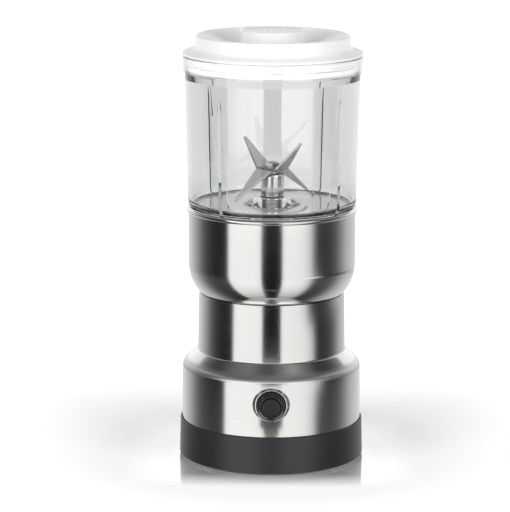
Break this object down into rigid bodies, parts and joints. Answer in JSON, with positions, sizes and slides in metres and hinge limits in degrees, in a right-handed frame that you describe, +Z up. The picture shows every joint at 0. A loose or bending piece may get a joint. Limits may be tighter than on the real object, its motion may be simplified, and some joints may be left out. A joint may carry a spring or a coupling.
{
  "type": "electric spice grinder",
  "caption": "Upright electric spice grinder: steel motor housing with push button, docking bowl, lift-off clear jar with crossed blades, and a pull-off lid.",
  "frame": {"origin": "on the grinder's vertical axis, at the surface that the feet stand on; the button's front and the cord gland's end are the same distance from the axis", "axes": "+Z up along the shaft, -Y to the front (the button's side), +X to the viewer's right"},
  "size_m": [0.107, 0.118, 0.25],
  "materials": {
    "black_moulding": "satin",
    "cup_moulding": "satin",
    "grey_moulding": "satin",
    "bezel_moulding": "gloss",
    "button_moulding": "gloss",
    "plunger_moulding": "satin",
    "switch_moulding": "satin",
    "fan_moulding": "satin",
    "coupling_moulding": "satin",
    "clear_plastic": "clear gloss",
    "white_plastic": "gloss",
    "white_gasket": "satin",
    "foot_rubber": "matt",
    "gland_rubber": "matt",
    "seal_rubber": "matt",
    "brushed_housing": "brushed round the axis",
    "brushed_bowl": "brushed round the axis",
    "blade_steel": "satin",
    "bracket_metal": "matt",
    "turned_steel": "turned",
    "zinc_steel": "zinc plated",
    "spring_steel": "bright",
    "lamination": "matt",
    "chromed_post": "polished",
    "chromed_nut": "polished",
    "copper_winding": "enamelled",
    "copper_segments": "turned",
    "bearing_bronze": "sintered",
    "brass_part": "stamped",
    "carbon": "matt"
  },
  "bodies": {
    "base": {"base_shell": "black_moulding", "bottom_cover": "black_moulding", "cover_screws": "zinc_steel", "rubber_feet": "foot_rubber", "cord_gland": "gland_rubber", "motor_housing": "brushed_housing", "tie_screws": "zinc_steel", "motor_mount_plate": "black_moulding", "docking_bowl": "brushed_bowl", "dock_cup": "cup_moulding", "bowl_screws": "zinc_steel", "shaft_dust_seal": "seal_rubber", "stator_core": "lamination", "field_coils": "copper_winding", "top_bracket": "bracket_metal", "bottom_bracket": "bracket_metal", "top_bearing": "bearing_bronze", "bottom_bearing": "bearing_bronze", "motor_bolts": "zinc_steel", "motor_bolt_nuts": "zinc_steel", "motor_dampers": "seal_rubber", "brush_holders": "brass_part", "carbon_brushes": "carbon", "brush_springs": "spring_steel", "button_bezel": "bezel_moulding", "button_spring": "spring_steel", "switch_bracket": "bracket_metal", "bracket_screws": "zinc_steel", "switch_body": "switch_moulding", "switch_terminals": "brass_part"},
    "rotor": {"motor_shaft": "turned_steel", "armature_core": "lamination", "armature_windings": "copper_winding", "commutator": "copper_segments", "cooling_fan": "fan_moulding", "drive_coupling": "coupling_moulding"},
    "button": {"push_button": "button_moulding"},
    "plunger": {"switch_plunger": "plunger_moulding"},
    "jar": {"jar": "clear_plastic", "jar_base": "grey_moulding", "bearing_post": "chromed_post", "upper_bush": "bearing_bronze", "lower_bush": "bearing_bronze", "spindle_seal": "seal_rubber", "post_gasket": "seal_rubber", "post_lock_nut": "turned_steel"},
    "blade_set": {"blade_spindle": "turned_steel", "retaining_ring": "spring_steel", "lower_blade": "blade_steel", "upper_blade": "blade_steel", "blade_washer": "blade_steel", "blade_nut": "chromed_nut", "driven_coupling": "coupling_moulding"},
    "lid": {"lid": "white_plastic", "lid_gasket": "white_gasket"}
  },
  "joints": [
    {"name": "motor_spin", "type": "hinge", "parent": "base", "child": "rotor", "pos_m": [0, 0, 0.064], "axis": [0, 0, 1], "continuous": true},
    {"name": "jar_lift", "type": "slide", "parent": "base", "child": "jar", "axis": [0, 0, 1], "range_m": [0, 0.07]},
    {"name": "blade_spin", "type": "hinge", "parent": "jar", "child": "blade_set", "pos_m": [0, 0, 0.14], "axis": [0, 0, 1], "continuous": true},
    {"name": "lid_lift", "type": "slide", "parent": "jar", "child": "lid", "axis": [0, 0, 1], "range_m": [0, 0.04]},
    {"name": "button_press", "type": "slide", "parent": "base", "child": "button", "axis": [0, 1, 0], "range_m": [0, 0.0025], "stiffness_N_per_m": 800, "springref_m": -0.001, "deforming": ["button_spring"]},
    {"name": "plunger_press", "type": "slide", "parent": "base", "child": "plunger", "axis": [0, 1, 0], "range_m": [0, 0.0025]}
  ],
  "couplings": [
    {"joint": "blade_spin", "follows": "motor_spin", "ratio": 1},
    {"joint": "plunger_press", "follows": "button_press", "ratio": 1}
  ]
}
